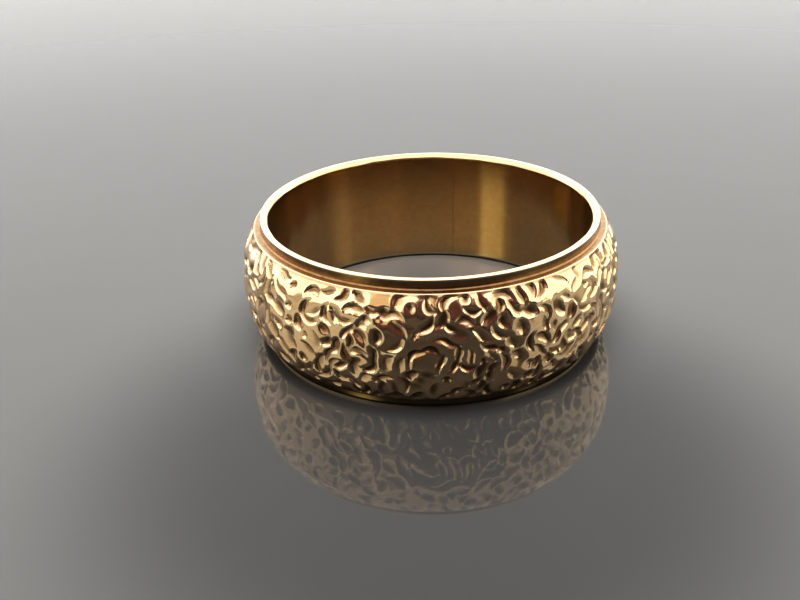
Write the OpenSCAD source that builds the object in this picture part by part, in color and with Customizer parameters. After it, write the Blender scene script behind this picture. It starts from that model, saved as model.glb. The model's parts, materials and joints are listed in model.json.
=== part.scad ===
// Lined wedding band: a plain polished liner sleeve with a domed, patterned band soldered round it.
// Millimetres. The ring axis is +Z, and the origin is the centre of the face that the ring rests on.

/* [Finger] */
// Inside diameter of the ring
bore_d = 18.5; // [14:0.1:23]

/* [Liner sleeve] */
// Width of the liner along the finger, which is the width of the whole ring
liner_width = 7.3; // [6:0.1:10]
// Wall thickness of the liner
liner_wall = 0.5; // [0.4:0.05:0.8]
// Length of the rounded inner edge along the finger
ease_length = 0.3; // [0.3:0.05:0.4]
// Depth of the rounded inner edge, measured outwards from the bore
ease_depth = 0.28; // [0.1:0.01:0.28]
// Radius on the outer edge of each rim
rim_round = 0.07; // [0.05:0.01:0.1]

/* [Patterned band] */
// Height that each rim stands proud of the step
rim_height = 0.55; // [0.3:0.05:0.8]
// Width of the step between the rim and the dome
step_width = 0.385; // [0.25:0.005:0.6]
// Slope of the step, falling away from the rim
step_slope = 5; // [4:1:20]
// Rise of the dome above its own edges
dome_rise = 0.815; // [0.6:0.005:1]
// Radius of the flat middle arc of the dome
crown_r = 9; // [8:0.5:12]
// Half angle that the middle arc spans
crown_angle = 11; // [6:1:12]

/* [Solder] */
// Width of each closing joint
joint_gap = 0.12; // [0.08:0.01:0.2]
// Place of the liner's closing joint, as an angle round the ring
liner_joint_at = 78; // [0:1:360]
// Place of the band's closing joint, as an angle round the ring
band_joint_at = 102; // [0:1:360]
// Radius of the hollow face of each solder fillet
fillet_r = 0.15; // [0.1:0.01:0.18]

/* [Hidden] */

liner_gold = "#e6bf86";
band_gold = "#d9a06c";
solder_gold = "#dcb27c";

ring_facets = 96;
arc_facets = 64;
small_facets = 24;

bore_r = bore_d / 2;
seat_r = bore_r + liner_wall;
half_width = liner_width / 2;
clearance = 1;

// Rounded inner edge: an arc that leaves the bore smoothly and stops at the rim's flat face
ease_sweep = 2 * atan(ease_depth / ease_length);
ease_r = ease_length / sin(ease_sweep);
ease_start = half_width - ease_length;

// Step between rim and dome, as heights above the middle of the ring
step_top = half_width - rim_height;
step_fall = step_width * tan(step_slope);
edge_r = seat_r + step_width;
edge_z = step_top - step_fall;

// Dome: a middle arc, then a tighter shoulder arc that carries on from it down to the edge
dome_r = edge_r + dome_rise;
crown_z = crown_r * sin(crown_angle);
crown_drop = crown_r * (1 - cos(crown_angle));
shoulder_turn = 2 * atan((dome_rise - crown_drop) / (edge_z - crown_z));
shoulder_r = (edge_z - crown_z) / (sin(shoulder_turn - crown_angle) - sin(crown_angle));
crown_centre = dome_r - crown_r;
shoulder_centre = [
    crown_centre + (crown_r - shoulder_r) * cos(crown_angle),
    (crown_r - shoulder_r) * sin(crown_angle),
];
// The shoulder's disc stands this far proud of the crown's, so that the two arcs cross at a clear angle
shoulder_proud = 0.01;

// Fillet: its arc bites a little into wall and step, so the solder ends at an angle and not in a feather edge
fillet_reach = 0.92 * fillet_r;
fillet_up = fillet_reach * tan(45 - step_slope / 2);

// Lifts a piece that is drawn about the middle of the ring, so that the ring rests at zero height
module lifted() {
    translate([0, 0, half_width]) children();
}

// The upper half of a section, with its mirror image below
module both_halves() {
    children();
    mirror([0, 1]) children();
}

// Upper half of the liner's section: the arc's disc trims the inner edge, up to where the disc falls away
// again, and the plain part of the rim overlaps it a little
module half_liner_section() {
    flat_end_r = seat_r - rim_round;
    split_r = min(bore_r + ease_r, flat_end_r);
    plain_r = (bore_r + ease_depth + split_r) / 2;
    translate([bore_r, 0]) square([liner_wall, ease_start]);
    intersection() {
        translate([bore_r + ease_r, ease_start]) circle(r = ease_r, $fn = arc_facets);
        translate([bore_r - clearance, ease_start]) square([split_r - bore_r + clearance, ease_length]);
    }
    polygon([
        [plain_r, ease_start],
        [seat_r, ease_start],
        [seat_r, half_width - rim_round],
        [flat_end_r, half_width - rim_round],
        [flat_end_r, half_width],
        [plain_r, half_width],
    ]);
    translate([flat_end_r, half_width - rim_round])
        intersection() {
            circle(r = rim_round, $fn = small_facets);
            square(2 * rim_round);
        }
}

// Upper half of the band's section: the crown's disc trims the middle, and the shoulder's disc trims the rest
module half_band_section() {
    far_r = dome_r + clearance;
    intersection() {
        translate([crown_centre, 0]) circle(r = crown_r, $fn = 4 * arc_facets);
        union() {
            translate([seat_r, 0]) square([far_r - seat_r, crown_z]);
            intersection() {
                translate(shoulder_centre) circle(r = shoulder_r + shoulder_proud, $fn = 2 * arc_facets);
                polygon([
                    [seat_r, 0],
                    [far_r, 0],
                    [far_r, step_top - (far_r - seat_r) * tan(step_slope)],
                    [seat_r, step_top],
                ]);
            }
        }
    }
}

// Section of the solder in the upper corner between liner wall and step
module fillet_section() {
    corner = [seat_r, step_top];
    centre = corner + [fillet_reach, fillet_up];
    difference() {
        polygon([
            corner,
            corner + [0, fillet_up],
            centre,
            corner + fillet_up * [cos(step_slope), -sin(step_slope)],
        ]);
        translate(centre) circle(r = fillet_r, $fn = small_facets);
    }
}

module liner_hoop() {
    rotate_extrude($fn = ring_facets) both_halves() half_liner_section();
}

module band_hoop() {
    rotate_extrude($fn = ring_facets) both_halves() half_band_section();
}

// Thin radial slab where a hoop is closed
module closing_slab(at) {
    reach = dome_r + clearance;
    rotate([0, 0, at])
        translate([bore_r - clearance, -joint_gap / 2, -half_width - clearance])
            cube([reach - bore_r + clearance, joint_gap, liner_width + 2 * clearance]);
}

module liner_sleeve() {
    color(liner_gold) lifted() difference() {
        liner_hoop();
        closing_slab(liner_joint_at);
    }
}

module liner_butt_joint() {
    color(solder_gold) lifted() intersection() {
        liner_hoop();
        closing_slab(liner_joint_at);
    }
}

module patterned_band() {
    color(band_gold) lifted() difference() {
        band_hoop();
        closing_slab(band_joint_at);
    }
}

module band_butt_joint() {
    color(solder_gold) lifted() intersection() {
        band_hoop();
        closing_slab(band_joint_at);
    }
}

module upper_solder_fillet() {
    color(solder_gold) lifted()
        rotate_extrude($fn = ring_facets) fillet_section();
}

module lower_solder_fillet() {
    color(solder_gold) lifted()
        rotate_extrude($fn = ring_facets) mirror([0, 1]) fillet_section();
}

liner_sleeve();
liner_butt_joint();
patterned_band();
band_butt_joint();
upper_solder_fillet();
lower_solder_fillet();
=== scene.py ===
"""Lined wedding band: fine meshes, gold materials, studio and camera.

Lengths are metres in the part's own frame: the ring's axis is +Z, and the ring rests on z = 0.
Section points are (radius, height above the middle of the ring). Closed sections run anticlockwise.
"""
import json
import math

import bpy
import numpy as np
from mathutils import Matrix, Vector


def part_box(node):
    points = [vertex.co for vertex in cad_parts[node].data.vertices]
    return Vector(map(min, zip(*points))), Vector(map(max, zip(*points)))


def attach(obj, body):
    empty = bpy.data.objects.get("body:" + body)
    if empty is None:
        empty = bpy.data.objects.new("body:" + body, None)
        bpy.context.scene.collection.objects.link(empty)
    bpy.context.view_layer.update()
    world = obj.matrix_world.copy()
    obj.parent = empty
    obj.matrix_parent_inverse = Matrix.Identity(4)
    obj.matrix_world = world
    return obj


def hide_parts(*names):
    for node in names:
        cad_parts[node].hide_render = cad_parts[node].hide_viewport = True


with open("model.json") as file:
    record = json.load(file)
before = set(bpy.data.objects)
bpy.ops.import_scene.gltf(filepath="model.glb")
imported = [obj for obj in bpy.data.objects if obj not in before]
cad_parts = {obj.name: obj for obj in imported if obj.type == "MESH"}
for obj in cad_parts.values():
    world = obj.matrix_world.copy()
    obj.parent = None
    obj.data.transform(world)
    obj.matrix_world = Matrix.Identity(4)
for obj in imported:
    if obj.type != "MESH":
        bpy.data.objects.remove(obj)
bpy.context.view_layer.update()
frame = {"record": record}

MM = 0.001

# Sizes that the CAD frame gives
liner_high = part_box("liner_sleeve")[1]
band_low, band_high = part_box("patterned_band")
bore_mount = next(m for m in frame["record"]["mounts"] if m["name"] == "finger_bore")
BORE_R = bore_mount["dims"]["r_mm"] * MM
SEAT_R = liner_high.x
DOME_R = -band_low.x
HALF_WIDTH = liner_high.z / 2
STEP_TOP = band_high.z - HALF_WIDTH

# Liner section
EASE_LENGTH = 0.3 * MM
EASE_DEPTH = 0.28 * MM
RIM_ROUND = 0.07 * MM

# Band section
STEP_WIDTH = 0.385 * MM
STEP_SLOPE = math.radians(5)
CROWN_R = 9 * MM
CROWN_ANGLE = math.radians(11)
STEP_FALL = STEP_WIDTH * math.tan(STEP_SLOPE)
EDGE_R = SEAT_R + STEP_WIDTH
EDGE_Z = STEP_TOP - STEP_FALL

# Solder. The fillet's arc bites into wall and step, so the arc's ends are trimmed by an angle.
JOINT_GAP = 0.12 * MM
FILLET_R = 0.15 * MM
FILLET_REACH = 0.92 * FILLET_R
FILLET_TRIM = 0.4

# Spacing of a section's points before they are thinned to mesh rows. It also serves as a tiny offset.
FINE_STEP = 0.01 * MM
FEWEST_POINTS = 8
# Arcs turn by at most this much from point to point
ARC_STEP = math.radians(3)
# Rows are as long as these, and shorter where the section turns by more than ROW_TURN
LINER_ROW = 0.25 * MM
BAND_ROW = 0.076 * MM
ROW_TURN = math.radians(7)
# Columns round the ring
LINER_COLUMNS = 360
BAND_COLUMNS = 940
JOINT_COLUMNS = 5
# Corners of the sections are rounded over these lengths
LINER_SOFTENING = 0.03 * MM
BAND_SOFTENING = 0.06 * MM
# The rounding averages with a bell curve, cut off this many standard deviations from its middle
BELL_CUT = 4
# Shading breaks where faces meet at more than this angle
SHARP_ANGLE = math.radians(80)

# Slow waviness that polishing leaves in the bore, as pairs of waves round the ring and phase
BORE_WAVE = 0.03 * MM
BORE_WAVES = ((5, 0.4), (9, 1.9), (14, 4.1), (23, 2.6), (31, 0.9))

# Wear is full where a convex edge is this tight
WORN_RADIUS = 0.12 * MM
# Recess of the steps and of the liner's outer walls, which darkens and roughens them
STEP_DARKENING = 0.9
# The liner's points outside this radius are on its outer walls
WALL_R = SEAT_R - RIM_ROUND / 4
# Recess of the bore, which makes it duller than the outside and darkens it with painted shade
BORE_SHADE_AND_DULLNESS = 0.6


def arc(centre, radius, start, end):
    """Points along an arc, with angles in radians."""
    steps = max(2, math.ceil(abs(end - start) / ARC_STEP))
    angles = np.linspace(start, end, steps + 1)
    return [(centre[0] + radius * math.cos(a), centre[1] + radius * math.sin(a)) for a in angles]


def with_mirror(upper):
    """A closed section from its upper half, which runs from the middle's outside to the middle's inside."""
    lower = [(r, -z) for r, z in reversed(upper)]
    return np.array(upper + lower)


def liner_section():
    """Closed section of the liner: bore, rounded inner edges, flat rims and slightly rounded outer edges."""
    ease_sweep = 2 * math.atan(EASE_DEPTH / EASE_LENGTH)
    ease_r = EASE_LENGTH / math.sin(ease_sweep)
    ease_centre = (BORE_R + ease_r, HALF_WIDTH - EASE_LENGTH)
    rim_centre = (SEAT_R - RIM_ROUND, HALF_WIDTH - RIM_ROUND)
    upper = [(SEAT_R, FINE_STEP)]
    upper += arc(rim_centre, RIM_ROUND, 0, math.pi / 2)
    upper += arc(ease_centre, ease_r, math.pi - ease_sweep, math.pi)
    upper += [(BORE_R, FINE_STEP)]
    return with_mirror(upper)


def band_outline():
    """Open outline of the band from the lower step's foot, over the dome, to the upper step's foot."""
    rise = DOME_R - EDGE_R
    crown_z = CROWN_R * math.sin(CROWN_ANGLE)
    crown_drop = CROWN_R * (1 - math.cos(CROWN_ANGLE))
    turn = 2 * math.atan((rise - crown_drop) / (EDGE_Z - crown_z))
    edge_angle = turn - CROWN_ANGLE
    shoulder_r = (EDGE_Z - crown_z) / (math.sin(edge_angle) - math.sin(CROWN_ANGLE))
    crown_centre = DOME_R - CROWN_R
    shoulder_r_in = crown_centre + (CROWN_R - shoulder_r) * math.cos(CROWN_ANGLE)
    shoulder_z = (CROWN_R - shoulder_r) * math.sin(CROWN_ANGLE)
    outline = [(SEAT_R, -STEP_TOP)]
    outline += arc((shoulder_r_in, -shoulder_z), shoulder_r, -edge_angle, -CROWN_ANGLE)
    outline += arc((crown_centre, 0), CROWN_R, -CROWN_ANGLE, CROWN_ANGLE)
    outline += arc((shoulder_r_in, shoulder_z), shoulder_r, CROWN_ANGLE, edge_angle)
    outline += [(SEAT_R, STEP_TOP)]
    return np.array(outline)


def fillet_section():
    """Closed section of the upper solder fillet, with its hollow face outwards."""
    rise = FILLET_REACH * math.tan(math.pi / 4 - STEP_SLOPE / 2)
    centre = (SEAT_R + FILLET_REACH, STEP_TOP + rise)
    hollow = arc(centre, FILLET_R, math.pi + FILLET_TRIM, 1.5 * math.pi - STEP_SLOPE - FILLET_TRIM)
    foot = (SEAT_R + rise * math.cos(STEP_SLOPE), STEP_TOP - rise * math.sin(STEP_SLOPE))
    corner = (SEAT_R - FINE_STEP, STEP_TOP - FINE_STEP)
    return np.array([corner, foot] + hollow[::-1] + [(SEAT_R - FINE_STEP, STEP_TOP + rise)])


def evenly(points, step, closed):
    """The same line with its points about a fixed step apart."""
    line = np.vstack([points, points[:1]]) if closed else points
    lengths = np.hypot(*np.diff(line, axis=0).T)
    along = np.concatenate([[0], np.cumsum(lengths)])
    count = max(FEWEST_POINTS, round(along[-1] / step))
    places = np.linspace(0, along[-1], count + 1)
    even = np.column_stack([np.interp(places, along, line[:, k]) for k in (0, 1)])
    return even[:-1] if closed else even


def softened(points, reach, closed):
    """The same line with its corners rounded over about this reach. An open line keeps its ends."""
    even = evenly(points, FINE_STEP, closed)
    deviation = reach / 2
    half = math.ceil(BELL_CUT * deviation / FINE_STEP)
    weights = np.exp(-0.5 * (np.arange(-half, half + 1) * FINE_STEP / deviation) ** 2)
    weights /= weights.sum()
    if closed:
        padded = np.vstack([even[-half:], even, even[:half]])
    else:
        before = 2 * even[0] - even[half:0:-1]
        after = 2 * even[-1] - even[-2:-half - 2:-1]
        padded = np.vstack([before, even, after])
    return np.column_stack([np.convolve(padded[:, k], weights, "valid") for k in (0, 1)])


class Section:
    """Points of a section with what a mesh needs at each: outward normal, distance along, and wear."""

    def __init__(self, line, closed, longest):
        if closed:
            ahead = np.roll(line, -1, axis=0) - line
            behind = line - np.roll(line, 1, axis=0)
        else:
            steps = np.diff(line, axis=0)
            ahead = np.vstack([steps, steps[-1:]])
            behind = np.vstack([steps[:1], steps])
        heading = ahead + behind
        heading /= np.hypot(*heading.T)[:, None]
        cross = behind[:, 0] * ahead[:, 1] - behind[:, 1] * ahead[:, 0]
        turns = np.arctan2(cross, (behind * ahead).sum(axis=1))
        lengths = np.hypot(*behind.T)
        kept = self._kept(lengths, turns, longest)
        self.points = line[kept]
        self.normals = np.column_stack([heading[:, 1], -heading[:, 0]])[kept]
        self.along = np.cumsum(lengths)[kept]
        self.wear = np.clip(turns / lengths * WORN_RADIUS, 0, 1)[kept]

    @staticmethod
    def _kept(lengths, turns, longest):
        """Indices of the points to keep: no gap is longer than longest or turns more than ROW_TURN."""
        kept, gap, turned = [0], 0, 0
        for i in range(1, len(lengths)):
            gap += lengths[i]
            turned += abs(turns[i])
            if gap >= longest or turned >= ROW_TURN or i == len(lengths) - 1:
                kept.append(i)
                gap, turned = 0, 0
        return kept


def columns(joint_at, gap_r, count):
    """Angles from one side of a closing joint, round the ring, to its other side.

    An extra column close to each end keeps the shading level across the joint.
    """
    half_gap = JOINT_GAP / 2 / gap_r
    first, last = joint_at + half_gap, joint_at + 2 * math.pi - half_gap
    inset = FINE_STEP / gap_r
    return np.concatenate([[first], np.linspace(first + inset, last - inset, count - 2), [last]])


def joint_columns(joint_at, gap_r):
    """Angles across a closing joint."""
    half_gap = JOINT_GAP / 2 / gap_r
    return np.linspace(joint_at - half_gap, joint_at + half_gap, JOINT_COLUMNS)


def swept(name, section, angles, material, cad_node, full_turn=False, lift=0, wear=0, recess=0):
    """A closed mesh of the section turned through the angles, standing for one CAD node.

    lift moves each grid point along its section normal. wear and recess, from 0 to 1, go to the material.
    """
    shape = (len(angles), len(section.points))
    lift, wear, recess = (np.broadcast_to(v, shape) for v in (lift, wear, recess))
    radius = section.points[:, 0] + lift * section.normals[:, 0]
    height = HALF_WIDTH + section.points[:, 1] + lift * section.normals[:, 1]
    cosines, sines = np.cos(angles)[:, None], np.sin(angles)[:, None]
    verts = np.dstack([radius * cosines, radius * sines, height]).reshape(-1, 3)

    index = np.arange(verts.shape[0]).reshape(shape)
    here = index if full_turn else index[:-1]
    there = np.roll(index, -1, axis=0) if full_turn else index[1:]
    here_up, there_up = np.roll(here, -1, axis=1), np.roll(there, -1, axis=1)
    faces = np.dstack([here, there, there_up, here_up]).reshape(-1, 4).tolist()
    if not full_turn:
        faces += [index[0].tolist(), index[-1][::-1].tolist()]

    mesh = bpy.data.meshes.new(name)
    mesh.from_pydata(verts.tolist(), [], faces)
    mesh.polygons.foreach_set("use_smooth", np.ones(len(faces), bool))
    mesh.set_sharp_from_angle(angle=SHARP_ANGLE)
    worn = np.maximum(section.wear, wear)
    for label, values in (("wear", worn), ("recess", recess)):
        attribute = mesh.attributes.new(label, "FLOAT", "POINT")
        attribute.data.foreach_set("value", np.ascontiguousarray(values, np.float32).ravel())
    mesh.materials.append(material)

    piece = bpy.data.objects.new(name, mesh)
    bpy.context.scene.collection.objects.link(piece)
    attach(piece, "root")
    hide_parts(cad_node)
    return piece


# Dents of the patterned band. Each new dent takes the best of several tries at a place.

DENT_SEED = 7
DENT_COUNT = 620
DENT_TRIES = 12
# The middles of the dents keep this far from the dome's edges
DENT_MARGIN = 0.3 * MM
# The relief fades in between these distances from the dome's edges
FADE_START = 0.02 * MM
FADE_END = 0.2 * MM
# Depths from which a dent starts to count as a recess, and counts in full. The material darkens recesses
# with dirt and painted shade.
RECESS_START = 0.04 * MM
RECESS_FULL = 0.14 * MM

# A dent is steep and deep on one side, and shallow on the other
DENT_SKEW = 0.5
SHALLOW_POWER = 2.0
STEEP_POWER = 4.0
DENT_TIGHTNESS = 1.2
# A dent is worked out as far as this many of its half lengths
DENT_WINDOW = 2
# Overlapping dents blend more sharply as this grows
BLEND_POWER = 4
# The raised lip on the steep side, whose place and width are in dent reaches
LIP_RISE = 0.02 * MM
LIP_PLACE = 1.3
LIP_WIDTH = 0.22

# Gentle unevenness of the land between the dents
UNDULATION = 0.03 * MM
WAVE_COUNT = 14
WAVE_LENGTH = (1.3 * MM, 2.6 * MM)


def dent_kind(share, length, width, bend, twist, depth):
    """A kind of dent: its share of all dents, then ranges of half length, half width, bend, twist and depth.

    Lengths are in millimetres. A bend moves the spine sideways by bend times the square of the distance
    from the dent's middle, and a twist by twist times its cube.
    """
    return dict(share=share, length=length, width=width, bend=bend, twist=twist, depth=depth)


# Ovals, crescents, S-curves and small pits
DENT_KINDS = (
    dent_kind(0.32, (0.40, 0.60), (0.28, 0.38), bend=(0.0, 0.5), twist=(0.0, 0.0), depth=(0.09, 0.17)),
    dent_kind(0.38, (0.50, 0.72), (0.20, 0.29), bend=(0.5, 1.1), twist=(0.0, 0.3), depth=(0.09, 0.17)),
    dent_kind(0.20, (0.54, 0.76), (0.17, 0.24), bend=(0.0, 0.2), twist=(0.7, 1.4), depth=(0.08, 0.15)),
    dent_kind(0.10, (0.22, 0.32), (0.20, 0.28), bend=(0.0, 0.0), twist=(0.0, 0.0), depth=(0.09, 0.16)),
)


def smooth(values, low, high):
    """Smooth step from 0 at low to 1 at high."""
    t = np.clip((values - low) / (high - low), 0, 1)
    return t * t * (3 - 2 * t)


def wrapped(angles):
    """Angles brought to the range from minus to plus half a turn."""
    return (angles + math.pi) % (2 * math.pi) - math.pi


def dent_places(random, half_length):
    """Scattered places (angle, distance along the section), each far from those before it."""
    places = np.zeros((0, 2))
    for _ in range(DENT_COUNT):
        tries = np.column_stack([
            random.uniform(-math.pi, math.pi, DENT_TRIES),
            random.uniform(-half_length, half_length, DENT_TRIES),
        ])
        if len(places):
            across = wrapped(tries[:, None, 0] - places[None, :, 0]) * DOME_R
            up = tries[:, None, 1] - places[None, :, 1]
            nearest = np.hypot(across, up).min(axis=1)
            tries = tries[nearest.argmax()][None]
        places = np.vstack([places, tries[:1]])
    return places


def make_dents(half_length):
    """All dents as dicts of their place, turn and shape, in metres and radians."""
    random = np.random.default_rng(DENT_SEED)
    shares = [kind["share"] for kind in DENT_KINDS]
    dents = []
    for angle, up in dent_places(random, half_length):
        kind = DENT_KINDS[random.choice(len(DENT_KINDS), p=shares)]
        dents.append(dict(
            angle=angle,
            up=up,
            turn=random.uniform(-math.pi, math.pi),
            length=random.uniform(*kind["length"]) * MM,
            width=random.uniform(*kind["width"]) * MM,
            bend=random.uniform(*kind["bend"]) / MM,
            twist=random.uniform(*kind["twist"]) * random.choice((-1, 1)) / MM ** 2,
            depth=random.uniform(*kind["depth"]) * MM,
        ))
    return dents


def dent_shape(dent, across, up):
    """Distance from the dent's middle, 1 at its edge, and the side, from -1 shallow to 1 steep."""
    c, s = math.cos(dent["turn"]), math.sin(dent["turn"])
    x = c * across + s * up
    y = c * up - s * across + dent["bend"] * x ** 2 + dent["twist"] * x ** 3
    reach = np.hypot(x / dent["length"], y / dent["width"])
    return reach, np.clip(y / dent["width"], -1, 1)


def carve(dents, angles, along):
    """Depth and lip of the dents on a grid of angles and places along the dome."""
    total = np.zeros((len(angles), len(along)))
    lip = np.zeros_like(total)
    for dent in dents:
        across = wrapped(angles - dent["angle"]) * DOME_R
        up = along - dent["up"]
        window = DENT_WINDOW * dent["length"]
        i = np.nonzero(abs(across) < window)[0]
        j = np.nonzero(abs(up) < window)[0]
        if len(i) == 0 or len(j) == 0:
            continue
        reach, side = dent_shape(dent, across[i][:, None], up[j][None, :])
        power = SHALLOW_POWER + (STEEP_POWER - SHALLOW_POWER) * (1 + side) / 2
        bowl = dent["depth"] * (1 + DENT_SKEW * side) * np.exp(-DENT_TIGHTNESS * reach ** power)
        ridge = np.exp(-((reach - LIP_PLACE) / LIP_WIDTH) ** 2) * (1 + side) / 2
        grid = np.ix_(i, j)
        total[grid] += (bowl / MM) ** BLEND_POWER
        lip[grid] = np.maximum(lip[grid], ridge)
    return total ** (1 / BLEND_POWER) * MM, lip


def undulation(angles, along):
    """A gentle unevenness of the whole dome, as a sum of waves in random directions."""
    random = np.random.default_rng(DENT_SEED + 1)
    total = np.zeros((len(angles), len(along)))
    for _ in range(WAVE_COUNT):
        rate = 2 * math.pi / random.uniform(*WAVE_LENGTH)
        heading, phase = random.uniform(0, 2 * math.pi, 2)
        turns = round(rate * math.cos(heading) * DOME_R)
        total += np.sin(turns * angles[:, None] + rate * math.sin(heading) * along[None, :] + phase)
    return total * UNDULATION / math.sqrt(WAVE_COUNT)


def band_relief(dents, section, angles):
    """Lift, wear and recess over the band's grid."""
    middle = section.along[-1] / 2
    along = section.along - middle
    half_dome = middle - STEP_WIDTH / math.cos(STEP_SLOPE)
    depth, lip = carve(dents, angles, along)
    inside = smooth(half_dome - abs(along), FADE_START, FADE_END)
    # The deep parts of the dents get dirt and painted shade through the recess
    recess = smooth(depth, RECESS_START, RECESS_FULL)
    lip = lip * (1 - recess)
    lift = inside * (LIP_RISE * (lip - 1) - depth + undulation(angles, along))
    return lift, inside * lip, np.maximum(inside * recess, STEP_DARKENING * (1 - inside))


# Materials. The golds' noise scales are per millimetre of the ring's surface.

EVENLY = (1, 1, 1)
# Colour: pale clouds, stains and painted shade in the recesses, and paler worn edges
CLOUD_SCALE = 0.6
CLOUD_PALENESS = 0.25
GRIME_AND_SHADE_SCALE = 3.5
STAIN_AND_SHADE_RANGE = (0.6, 1.0)
WORN_PALENESS = 0.6
# Roughness: smudges, duller recesses, and glossier worn edges
SMUDGE_SCALE = 1.4
RECESS_ROUGHENING = 0.16
WORN_SMOOTHING = 0.4
# Relief: scratches drawn out round the ring, and small nicks
SCRATCH_STRETCH = (0.35, 22, 22)
NICK_SCALE = 9.0
NICK_HEIGHT = 0.5
BUMP_DISTANCE = 0.02 * MM


def node(tree, kind, inputs=None, **settings):
    """A shader node with its settings made, and its inputs linked or set."""
    made = tree.nodes.new(kind)
    for key, value in settings.items():
        setattr(made, key, value)
    for key, value in (inputs or {}).items():
        if isinstance(value, bpy.types.NodeSocket):
            tree.links.new(value, made.inputs[key])
        else:
            made.inputs[key].default_value = value
    return made


def math_node(tree, operation, a, b):
    """The result of a math node on two numbers or sockets."""
    return node(tree, "ShaderNodeMath", {0: a, 1: b}, operation=operation).outputs[0]


def blended(tree, factor, a, b):
    """Colour a where the factor is 0 and b where it is 1."""
    made = node(tree, "ShaderNodeMix", data_type="RGBA")
    sockets = {s.identifier: s for s in made.inputs}
    for identifier, value in (("Factor_Float", factor), ("A_Color", a), ("B_Color", b)):
        if isinstance(value, bpy.types.NodeSocket):
            tree.links.new(value, sockets[identifier])
        else:
            sockets[identifier].default_value = value
    return next(s for s in made.outputs if s.identifier == "Result_Color")


def ranged(tree, value, low, high):
    """A 0 to 1 value mapped to the range from low to high."""
    made = node(tree, "ShaderNodeMapRange", {"Value": value, "To Min": low, "To Max": high})
    return made.outputs["Result"]


def round_the_ring(tree):
    """Coordinates in millimetres: along the ring's circumference, across its width, and outwards."""
    place = node(tree, "ShaderNodeTexCoord").outputs["Object"]
    parts = node(tree, "ShaderNodeSeparateXYZ", {0: place}).outputs
    angle = math_node(tree, "ARCTAN2", parts["Y"], parts["X"])
    flat = node(tree, "ShaderNodeCombineXYZ", {0: parts["X"], 1: parts["Y"]}).outputs[0]
    radius = node(tree, "ShaderNodeVectorMath", {0: flat}, operation="LENGTH").outputs["Value"]
    around = math_node(tree, "MULTIPLY", angle, SEAT_R / MM)
    across = math_node(tree, "MULTIPLY", parts["Z"], 1 / MM)
    outwards = math_node(tree, "MULTIPLY", radius, 1 / MM)
    return node(tree, "ShaderNodeCombineXYZ", {0: around, 1: across, 2: outwards}).outputs[0]


def eased(tree, value, low, high):
    """A smooth step of a value, from 0 at low to 1 at high."""
    made = node(tree, "ShaderNodeMapRange", {
        "Value": value,
        "From Min": low,
        "From Max": high,
    }, interpolation_type="SMOOTHERSTEP")
    return made.outputs["Result"]


def noise(tree, vector, stretch, scale, detail=3.0):
    """Noise on coordinates stretched by three factors."""
    scaled = node(tree, "ShaderNodeVectorMath", {0: vector, 1: stretch}, operation="MULTIPLY")
    made = node(tree, "ShaderNodeTexNoise", {"Vector": scaled.outputs[0], "Scale": scale, "Detail": detail})
    return made.outputs[0]


def gold(name, colour, pale, dirt_and_shade, roughness, spread, scratch):
    """A worn polished gold: paler on worn edges, darker in recesses with dirt and painted shade, with fine
    scratches round the ring.
    """
    material = bpy.data.materials.new(name)
    material.use_nodes = True
    tree = material.node_tree
    tree.nodes.clear()
    place = round_the_ring(tree)
    wear = node(tree, "ShaderNodeAttribute", attribute_name="wear").outputs["Fac"]
    recess = node(tree, "ShaderNodeAttribute", attribute_name="recess").outputs["Fac"]

    cloud = noise(tree, place, EVENLY, CLOUD_SCALE)
    patchy = blended(tree, ranged(tree, cloud, 0.0, CLOUD_PALENESS), colour, pale)
    # The recesses are darkened, patchily, with dirt and painted shade
    grime_and_shade = noise(tree, place, EVENLY, GRIME_AND_SHADE_SCALE)
    stain_and_shade = math_node(tree, "MULTIPLY", recess, ranged(tree, grime_and_shade, *STAIN_AND_SHADE_RANGE))
    stained_and_shaded = blended(tree, stain_and_shade, patchy, dirt_and_shade)
    finished = blended(tree, math_node(tree, "MULTIPLY", wear, WORN_PALENESS), stained_and_shaded, pale)

    lines = noise(tree, place, SCRATCH_STRETCH, scale=1.0, detail=2.0)
    smudge = noise(tree, place, EVENLY, SMUDGE_SCALE)
    rough = ranged(tree, smudge, roughness - spread, roughness + spread)
    rough = math_node(tree, "ADD", rough, math_node(tree, "MULTIPLY", recess, RECESS_ROUGHENING))
    smoothing = math_node(tree, "MULTIPLY", wear, roughness * WORN_SMOOTHING)
    rough = math_node(tree, "SUBTRACT", rough, smoothing)
    nicks = noise(tree, place, EVENLY, NICK_SCALE, detail=2.0)
    height = math_node(tree, "ADD", lines, math_node(tree, "MULTIPLY", nicks, NICK_HEIGHT))
    bump = node(tree, "ShaderNodeBump", {"Strength": scratch, "Distance": BUMP_DISTANCE, "Height": height})

    shader = node(tree, "ShaderNodeBsdfPrincipled", {
        "Base Color": finished,
        "Metallic": 1.0,
        "Roughness": rough,
        "Normal": bump.outputs[0],
    })
    node(tree, "ShaderNodeOutputMaterial", {"Surface": shader.outputs[0]})
    return material


POLISHED_GOLD = gold(
    "polished_gold",
    colour=(0.88, 0.64, 0.33, 1),
    pale=(0.97, 0.86, 0.64, 1),
    dirt_and_shade=(0.20, 0.10, 0.05, 1),
    roughness=0.11,
    spread=0.035,
    scratch=0.12,
)
PATTERNED_GOLD = gold(
    "patterned_gold",
    colour=(0.88, 0.61, 0.37, 1),
    pale=(0.97, 0.82, 0.61, 1),
    dirt_and_shade=(0.14, 0.075, 0.035, 1),
    roughness=0.12,
    spread=0.04,
    scratch=0.1,
)
GOLD_SOLDER = gold(
    "gold_solder",
    colour=(0.84, 0.57, 0.27, 1),
    pale=(0.94, 0.80, 0.56, 1),
    dirt_and_shade=(0.14, 0.07, 0.04, 1),
    roughness=0.16,
    spread=0.04,
    scratch=0.18,
)


# Pieces

def joint_angle(name):
    """The angle round the ring of a CAD joint node."""
    low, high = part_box(name)
    return math.atan2(low.y + high.y, low.x + high.x)


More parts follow.
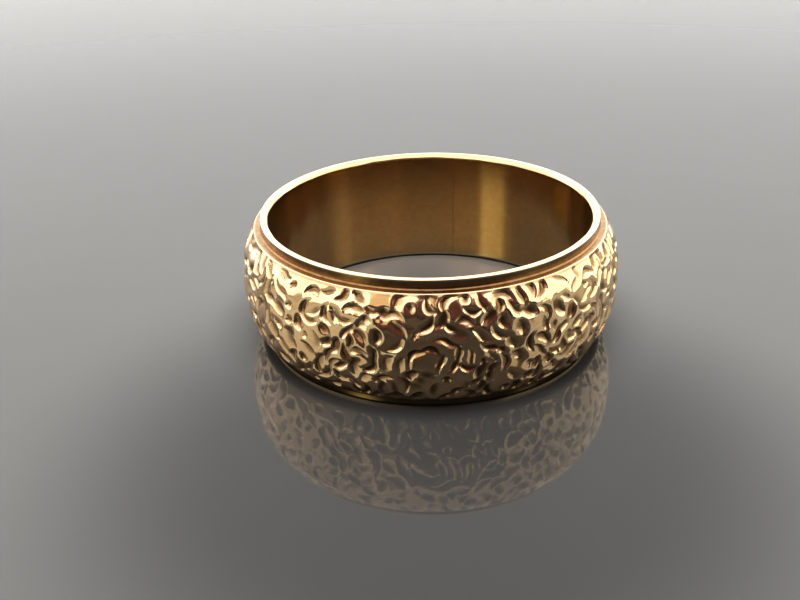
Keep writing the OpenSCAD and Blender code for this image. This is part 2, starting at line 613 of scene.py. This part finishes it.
def build_liner():
    """The liner sleeve and the butt joint that closes it."""
    section = Section(softened(liner_section(), LINER_SOFTENING, True), True, LINER_ROW)
    in_bore = np.clip(-section.normals[:, 0], 0, 1) ** 2
    outside = section.points[:, 0] > WALL_R
    # The bore's recess gives painted shade and dullness; the outer walls' recess darkens and roughens them
    grime_and_shade = STEP_DARKENING * outside + BORE_SHADE_AND_DULLNESS * in_bore
    at = joint_angle("liner_butt_joint")
    hoop = columns(at, SEAT_R, LINER_COLUMNS)
    gap = joint_columns(at, SEAT_R)
    for name, slot, cad_node, material, angles in (
        ("LinerSleeve", "polished_gold", "liner_sleeve", POLISHED_GOLD, hoop),
        ("LinerButtJoint", "gold_solder", "liner_butt_joint", GOLD_SOLDER, gap),
    ):
        wave = sum(np.sin(count * angles + phase) for count, phase in BORE_WAVES)
        lift = BORE_WAVE / len(BORE_WAVES) * wave[:, None] * in_bore
        swept(name, section, angles, material, cad_node, lift=lift, recess=grime_and_shade)


def build_band():
    """The patterned band and the butt joint that closes it, with the same dents running over both."""
    section = Section(softened(band_outline(), BAND_SOFTENING, False), False, BAND_ROW)
    half_dome = section.along[-1] / 2 - STEP_WIDTH / math.cos(STEP_SLOPE)
    dents = make_dents(half_dome - DENT_MARGIN)
    at = joint_angle("band_butt_joint")
    hoop = columns(at, SEAT_R, BAND_COLUMNS)
    gap = joint_columns(at, SEAT_R)
    for name, slot, cad_node, material, angles in (
        ("PatternedBand", "patterned_gold", "patterned_band", PATTERNED_GOLD, hoop),
        ("BandButtJoint", "gold_solder", "band_butt_joint", GOLD_SOLDER, gap),
    ):
        lift, wear, recess = band_relief(dents, section, angles)
        swept(name, section, angles, material, cad_node, lift=lift, wear=wear, recess=recess)


def build_fillets():
    """The solder fillets in the corners between the liner's wall and the band's steps."""
    angles = np.linspace(0, 2 * math.pi, LINER_COLUMNS, endpoint=False)
    upper = fillet_section()
    lower = (upper * (1, -1))[::-1]
    for name, cad_node, points in (
        ("UpperSolderFillet", "upper_solder_fillet", upper),
        ("LowerSolderFillet", "lower_solder_fillet", lower),
    ):
        section = Section(evenly(points, FINE_STEP, True), True, LINER_ROW)
        swept(
            name, section, angles, GOLD_SOLDER, cad_node,
            full_turn=True, recess=STEP_DARKENING,
        )


# Studio

# A round floor with a cove and a wall round it. The level strip keeps its shading flat up to the cove.
FLOOR_R = 450 * MM
COVE_R = 150 * MM
COVE_TOP = 1000 * MM
LEVEL_STRIP = COVE_R / 4
STAGE_COLUMNS = 96
FLOOR_GREYS = ((0.12, 0.12, 0.118, 1), (0.13, 0.13, 0.127, 1))
FLOOR_ROUGHNESS = (0.38, 0.42)
MOTTLE_SCALE = 60.0
# Painted shadow: a soft dark patch in front of the ring, full up to the inner distance from its middle
SHADE_PLACE = (0, -14 * MM, 0)
SHADE_INNER = 8 * MM
SHADE_OUTER = 25 * MM
SHADE_GREY = (0.05, 0.05, 0.05, 1)
# The wall's greys take over from the floor's from this distance on, and the coat ends there. The wall's
# front grey is painted shade.
WALL_START = FLOOR_R * 0.4
WALL_FRONT_SHADE_GREY = (0.03, 0.03, 0.03, 1)
WALL_BACK_GREY = (0.6, 0.6, 0.6, 1)
# The glossy coat grows with the slant of the view, up to this weight at a grazing angle
COAT_AT_GRAZING = 1.5
WORLD_COLOUR = (1.0, 0.97, 0.95, 1)
WORLD_STRENGTH = 0.06
# Distance of the side lights, and of the lights that stand for their mirror images, from the ring
LIGHT_DISTANCE = 230 * MM
# The camera looks along +Y, tipped down by its pitch and turned about its own axis by its roll
CAMERA_PLACE = (-1.83 * MM, -53.1 * MM, 28.3 * MM)
CAMERA_PITCH = math.radians(26.96)
CAMERA_ROLL = math.radians(1.51)
CAMERA_LENS = 44.26


def floor_material():
    """Plain floor that mirrors faintly, with a painted shadow in front of the ring, and a wall painted
    darker at the front as painted shade.
    """
    material = bpy.data.materials.new("studio_floor")
    material.use_nodes = True
    tree = material.node_tree
    tree.nodes.clear()
    place = node(tree, "ShaderNodeTexCoord").outputs["Object"]
    mottle = noise(tree, place, EVENLY, MOTTLE_SCALE)
    # Painted shadow: the floor darkens towards the patch in front of the ring
    away = node(tree, "ShaderNodeVectorMath", {0: place, 1: SHADE_PLACE}, operation="DISTANCE")
    unshaded = eased(tree, away.outputs["Value"], SHADE_INNER, SHADE_OUTER)
    distance = node(tree, "ShaderNodeVectorMath", {0: place}, operation="LENGTH").outputs["Value"]
    far = eased(tree, distance, WALL_START, FLOOR_R)
    # The wall is painted dark at the front as painted shade, and pale at the back
    depth = node(tree, "ShaderNodeSeparateXYZ", {0: place}).outputs["Y"]
    back = eased(tree, depth, 0.0, FLOOR_R)
    wall = blended(tree, back, WALL_FRONT_SHADE_GREY, WALL_BACK_GREY)
    light = blended(tree, far, blended(tree, mottle, *FLOOR_GREYS), wall)
    facing = node(tree, "ShaderNodeLayerWeight", {"Blend": 0.5}).outputs["Facing"]
    near = math_node(tree, "SUBTRACT", 1.0, far)
    coat = math_node(tree, "MULTIPLY", facing, COAT_AT_GRAZING)
    shader = node(tree, "ShaderNodeBsdfPrincipled", {
        "Base Color": blended(tree, unshaded, SHADE_GREY, light),
        "Roughness": ranged(tree, mottle, *FLOOR_ROUGHNESS),
        "Specular IOR Level": 0.2,
        "Coat Weight": math_node(tree, "MULTIPLY", near, coat),
        "Coat Roughness": 0.03,
        "Coat IOR": 1.6,
    })
    node(tree, "ShaderNodeOutputMaterial", {"Surface": shader.outputs[0]})
    return material


def build_stage():
    """A round floor that curves up into a wall all round."""
    profile = [(FLOOR_R - LEVEL_STRIP, 0), (FLOOR_R, 0)]
    profile += arc((FLOOR_R, COVE_R), COVE_R, -math.pi / 2, 0)
    profile += [(FLOOR_R + COVE_R, COVE_TOP)]
    angles = np.linspace(0, 2 * math.pi, STAGE_COLUMNS, endpoint=False)
    verts = [(r * math.cos(a), r * math.sin(a), z) for r, z in profile for a in angles]
    faces = [list(range(STAGE_COLUMNS))]
    for row in range(len(profile) - 1):
        for column in range(STAGE_COLUMNS):
            here = row * STAGE_COLUMNS + column
            beside = row * STAGE_COLUMNS + (column + 1) % STAGE_COLUMNS
            faces.append([here, here + STAGE_COLUMNS, beside + STAGE_COLUMNS, beside])
    mesh = bpy.data.meshes.new("StudioFloor")
    mesh.from_pydata(verts, [], faces)
    mesh.polygons.foreach_set("use_smooth", [True] * len(faces))
    mesh.materials.append(floor_material())
    floor = bpy.data.objects.new("StudioFloor", mesh)
    bpy.context.scene.collection.objects.link(floor)
    return floor


def light_group(name, members, link_state):
    """A collection that limits a light to its members, or keeps it off them."""
    group = bpy.data.collections.new(name)
    for member in members:
        group.objects.link(member)
    for linked in group.collection_objects:
        linked.light_linking.link_state = link_state
    return group


def softbox(name, azimuth, elevation, distance, size, power, colour, lit):
    """A soft light aimed at the ring, with its size in metres and its power in watts.

    Azimuth 0 is the camera's side and 90 is the right. A negative elevation is below the floor.
    """
    light = bpy.data.lights.new(name, "AREA")
    light.shape = "RECTANGLE"
    light.size, light.size_y = size
    light.energy = power
    light.color = colour
    holder = bpy.data.objects.new(name, light)
    spin = Matrix.Rotation(math.radians(azimuth), 4, "Z")
    tilt = Matrix.Rotation(math.radians(90 - elevation), 4, "X")
    holder.matrix_world = spin @ tilt @ Matrix.Translation((0, 0, distance))
    holder.visible_camera = False
    holder.light_linking.receiver_collection = lit
    bpy.context.scene.collection.objects.link(holder)
    return holder


def build_lights(floor):
    """Soft lights at the left, right, back and top, dimmer ones at the front, and one for the floor alone.

    The floor is kept out of the others, so that it mirrors the ring and not the lights' edges. The lights
    below the floor stand for what a glass table would mirror: the side lights, seen by the outer band, and
    two narrow glimmers, seen by the liner's bore.
    """
    ring = light_group("RingLights", [floor], "EXCLUDE")
    softbox(
        "LightLeft", azimuth=-92, elevation=22, distance=LIGHT_DISTANCE,
        size=(0.46, 0.22), power=0.40, colour=(1.0, 0.95, 0.88), lit=ring,
    )
    softbox(
        "LightRight", azimuth=94, elevation=22, distance=LIGHT_DISTANCE,
        size=(0.44, 0.22), power=0.38, colour=(1.0, 0.99, 0.86), lit=ring,
    )
    softbox(
        "LightLeftFront", azimuth=-33, elevation=33, distance=240 * MM,
        size=(0.13, 0.18), power=0.040, colour=(1.0, 0.93, 0.66), lit=ring,
    )
    softbox(
        "LightRightFront", azimuth=36, elevation=32, distance=240 * MM,
        size=(0.13, 0.15), power=0.012, colour=(1.0, 0.88, 0.78), lit=ring,
    )
    softbox(
        "LightBack", azimuth=180, elevation=26, distance=420 * MM,
        size=(0.60, 0.36), power=0.56, colour=(1.0, 0.95, 0.84), lit=ring,
    )
    softbox(
        "LightBackHigh", azimuth=180, elevation=67, distance=300 * MM,
        size=(0.50, 0.22), power=0.18, colour=(1.0, 0.97, 0.90), lit=ring,
    )
    softbox(
        "LightTop", azimuth=0, elevation=78, distance=42 * MM,
        size=(0.064, 0.056), power=0.0135, colour=(1.0, 0.98, 0.95), lit=ring,
    )
    softbox(
        "LightFront", azimuth=0, elevation=26, distance=240 * MM,
        size=(0.30, 0.22), power=0.017, colour=(1.0, 0.40, 0.46), lit=ring,
    )

    outer_band = [bpy.data.objects[name] for name in ("PatternedBand", "BandButtJoint")]
    band = light_group("BandLights", outer_band, "INCLUDE")
    liner = light_group("LinerLights", [bpy.data.objects["LinerSleeve"]], "INCLUDE")
    mirrored = [
        softbox(
            "LightLeftBelow", azimuth=-68, elevation=-22, distance=LIGHT_DISTANCE,
            size=(0.30, 0.19), power=0.062, colour=(1.0, 0.98, 0.80), lit=band,
        ),
        softbox(
            "LightRightBelow", azimuth=80, elevation=-22, distance=LIGHT_DISTANCE,
            size=(0.24, 0.18), power=0.036, colour=(1.0, 0.98, 0.84), lit=band,
        ),
        softbox(
            "GlimmerLeft", azimuth=-50, elevation=-27, distance=LIGHT_DISTANCE,
            size=(0.055, 0.12), power=0.0085, colour=(1.0, 0.90, 0.46), lit=liner,
        ),
        softbox(
            "GlimmerRight", azimuth=68, elevation=-27, distance=LIGHT_DISTANCE,
            size=(0.050, 0.12), power=0.0018, colour=(1.0, 0.88, 0.62), lit=liner,
        ),
    ]
    for light in mirrored:
        light.light_linking.blocker_collection = ring

    only_floor = light_group("FloorLights", [floor], "INCLUDE")
    floor_light = softbox(
        "LightFloor", azimuth=0, elevation=72, distance=900 * MM,
        size=(0.9, 0.9), power=20.0, colour=(1.0, 0.99, 0.97), lit=only_floor,
    )
    floor_light.visible_glossy = False


def build_world():
    """Dim, even light from all round."""
    world = bpy.data.worlds.new("Studio")
    world.use_nodes = True
    background = world.node_tree.nodes["Background"]
    background.inputs["Color"].default_value = WORLD_COLOUR
    background.inputs["Strength"].default_value = WORLD_STRENGTH
    bpy.context.scene.world = world


def build_camera():
    """The camera at the photograph's viewing angle."""
    data = bpy.data.cameras.new("Camera")
    data.lens = CAMERA_LENS
    data.clip_start = MM
    camera = bpy.data.objects.new("Camera", data)
    aim = Matrix.Rotation(math.pi / 2 - CAMERA_PITCH, 4, "X") @ Matrix.Rotation(-CAMERA_ROLL, 4, "Z")
    camera.matrix_world = Matrix.Translation(CAMERA_PLACE) @ aim
    bpy.context.scene.collection.objects.link(camera)
    bpy.context.scene.camera = camera


build_liner()
build_band()
build_fillets()
build_lights(build_stage())
build_world()
build_camera()
bpy.context.scene.view_settings.view_transform = "Standard"
bpy.context.scene.view_settings.look = "High Contrast"
